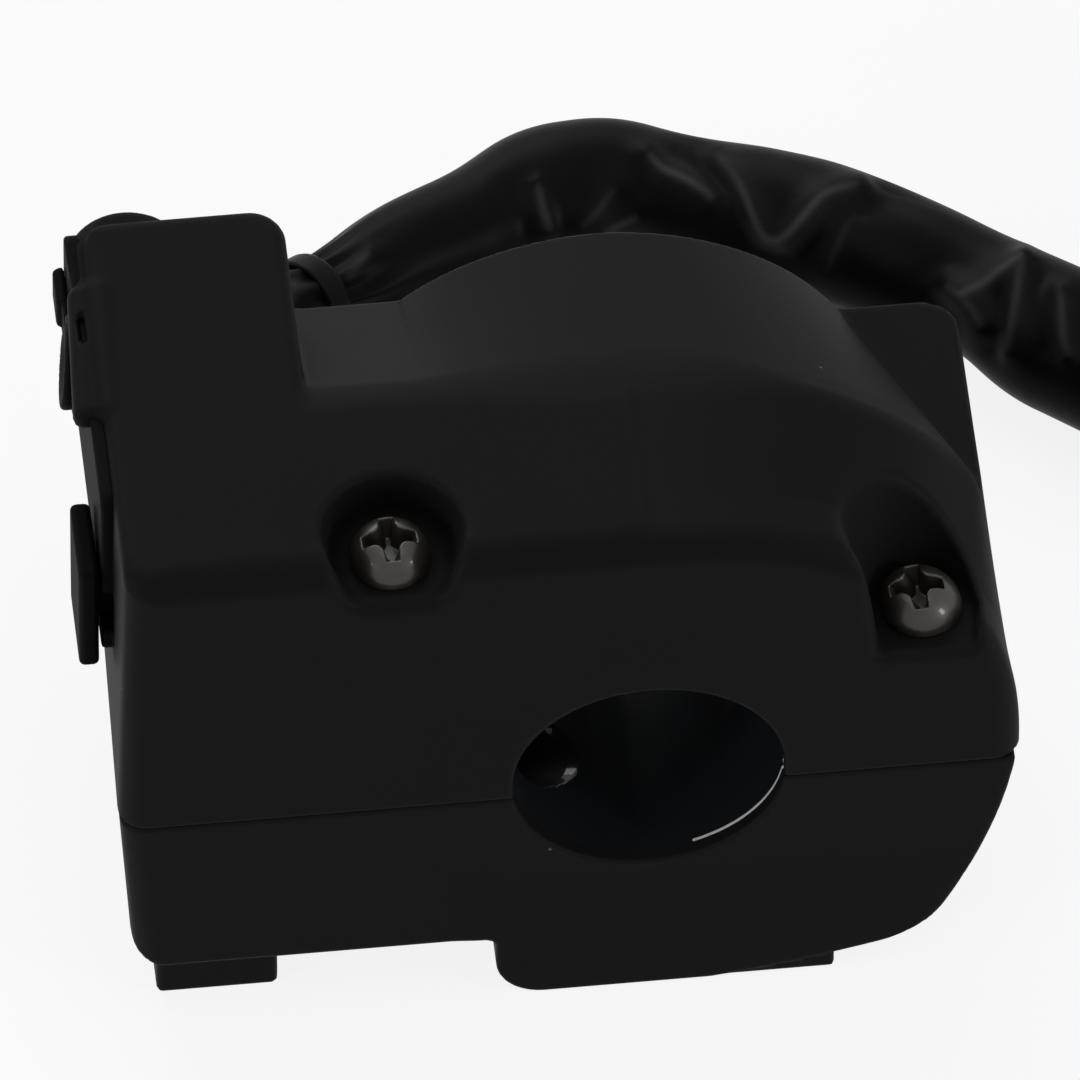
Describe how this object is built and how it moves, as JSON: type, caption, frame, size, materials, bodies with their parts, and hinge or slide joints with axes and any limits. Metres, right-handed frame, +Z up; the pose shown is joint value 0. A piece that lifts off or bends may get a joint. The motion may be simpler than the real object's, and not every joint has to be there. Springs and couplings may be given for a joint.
{
  "type": "handlebar switch cluster",
  "caption": "Two-part moulded switch case that clamps round a handlebar, with horn, turn and dimmer controls on one face and a sleeved wiring harness that leaves at the back.",
  "frame": {"origin": "on the axis of the bar bore, at the front end face of the case", "axes": "+Y along the bar bore from the front face to the back, +X away from the control face, +Z up, square to the parting plane of the two case halves"},
  "size_m": [0.2207, 0.1392, 0.0567],
  "materials": {
    "case_plastic": "fine-grained moulded black plastic, slightly worn edges",
    "screw_steel": "dark passivated steel with a dull sheen",
    "brass": "bare brass",
    "bezel_plastic": "black moulded plastic",
    "board_phenolic": "brown laminate board",
    "plain_steel": "bright zinc-plated steel",
    "knob_plastic": "black moulded plastic",
    "slider_nylon": "natural nylon",
    "spring_steel": "drawn spring wire",
    "wire_insulation": "insulated copper wire",
    "grommet_rubber": "black rubber",
    "tie_nylon": "black nylon strap",
    "sleeve_vinyl": "soft glossy black vinyl tube",
    "plug_nylon": "natural white nylon"
  },
  "bodies": {
    "housing": {"upper_shell": "case_plastic", "lower_shell": "case_plastic", "long_case_screw": "screw_steel", "short_case_screw": "screw_steel", "screw_inserts": "brass", "switch_bezel": "bezel_plastic", "contact_board": "board_phenolic", "board_contacts": "brass", "board_screws": "plain_steel", "horn_spring": "spring_steel", "lead_wires": "wire_insulation", "cable_grommet": "grommet_rubber", "sleeve_tie": "tie_nylon", "harness_sleeve": "sleeve_vinyl", "harness_coil": "sleeve_vinyl", "coil_tie": "tie_nylon", "connector_wires": "wire_insulation", "connector_shell": "plug_nylon", "connector_terminals": "brass"},
    "horn": {"horn_button": "knob_plastic", "horn_contact": "brass"},
    "turn": {"turn_knob": "knob_plastic", "turn_slider": "slider_nylon", "turn_bridge": "brass", "turn_detent_ball": "plain_steel", "turn_detent_spring": "spring_steel"},
    "dimmer": {"dimmer_knob": "knob_plastic", "dimmer_slider": "slider_nylon", "dimmer_bridge": "brass", "dimmer_detent_ball": "plain_steel", "dimmer_detent_spring": "spring_steel"}
  },
  "joints": [
    {"name": "horn_press", "type": "slide", "parent": "housing", "child": "horn", "axis": [1, 0, 0], "range_m": [0, 0.0018], "stiffness_N_per_m": 400, "springref_m": -0.004, "deforming": ["horn_spring"]},
    {"name": "turn_slide", "type": "slide", "parent": "housing", "child": "turn", "axis": [0, 1, 0], "range_m": [-0.003, 0.003]},
    {"name": "dimmer_slide", "type": "slide", "parent": "housing", "child": "dimmer", "axis": [0, 0, 1], "range_m": [-0.005, 0]}
  ]
}
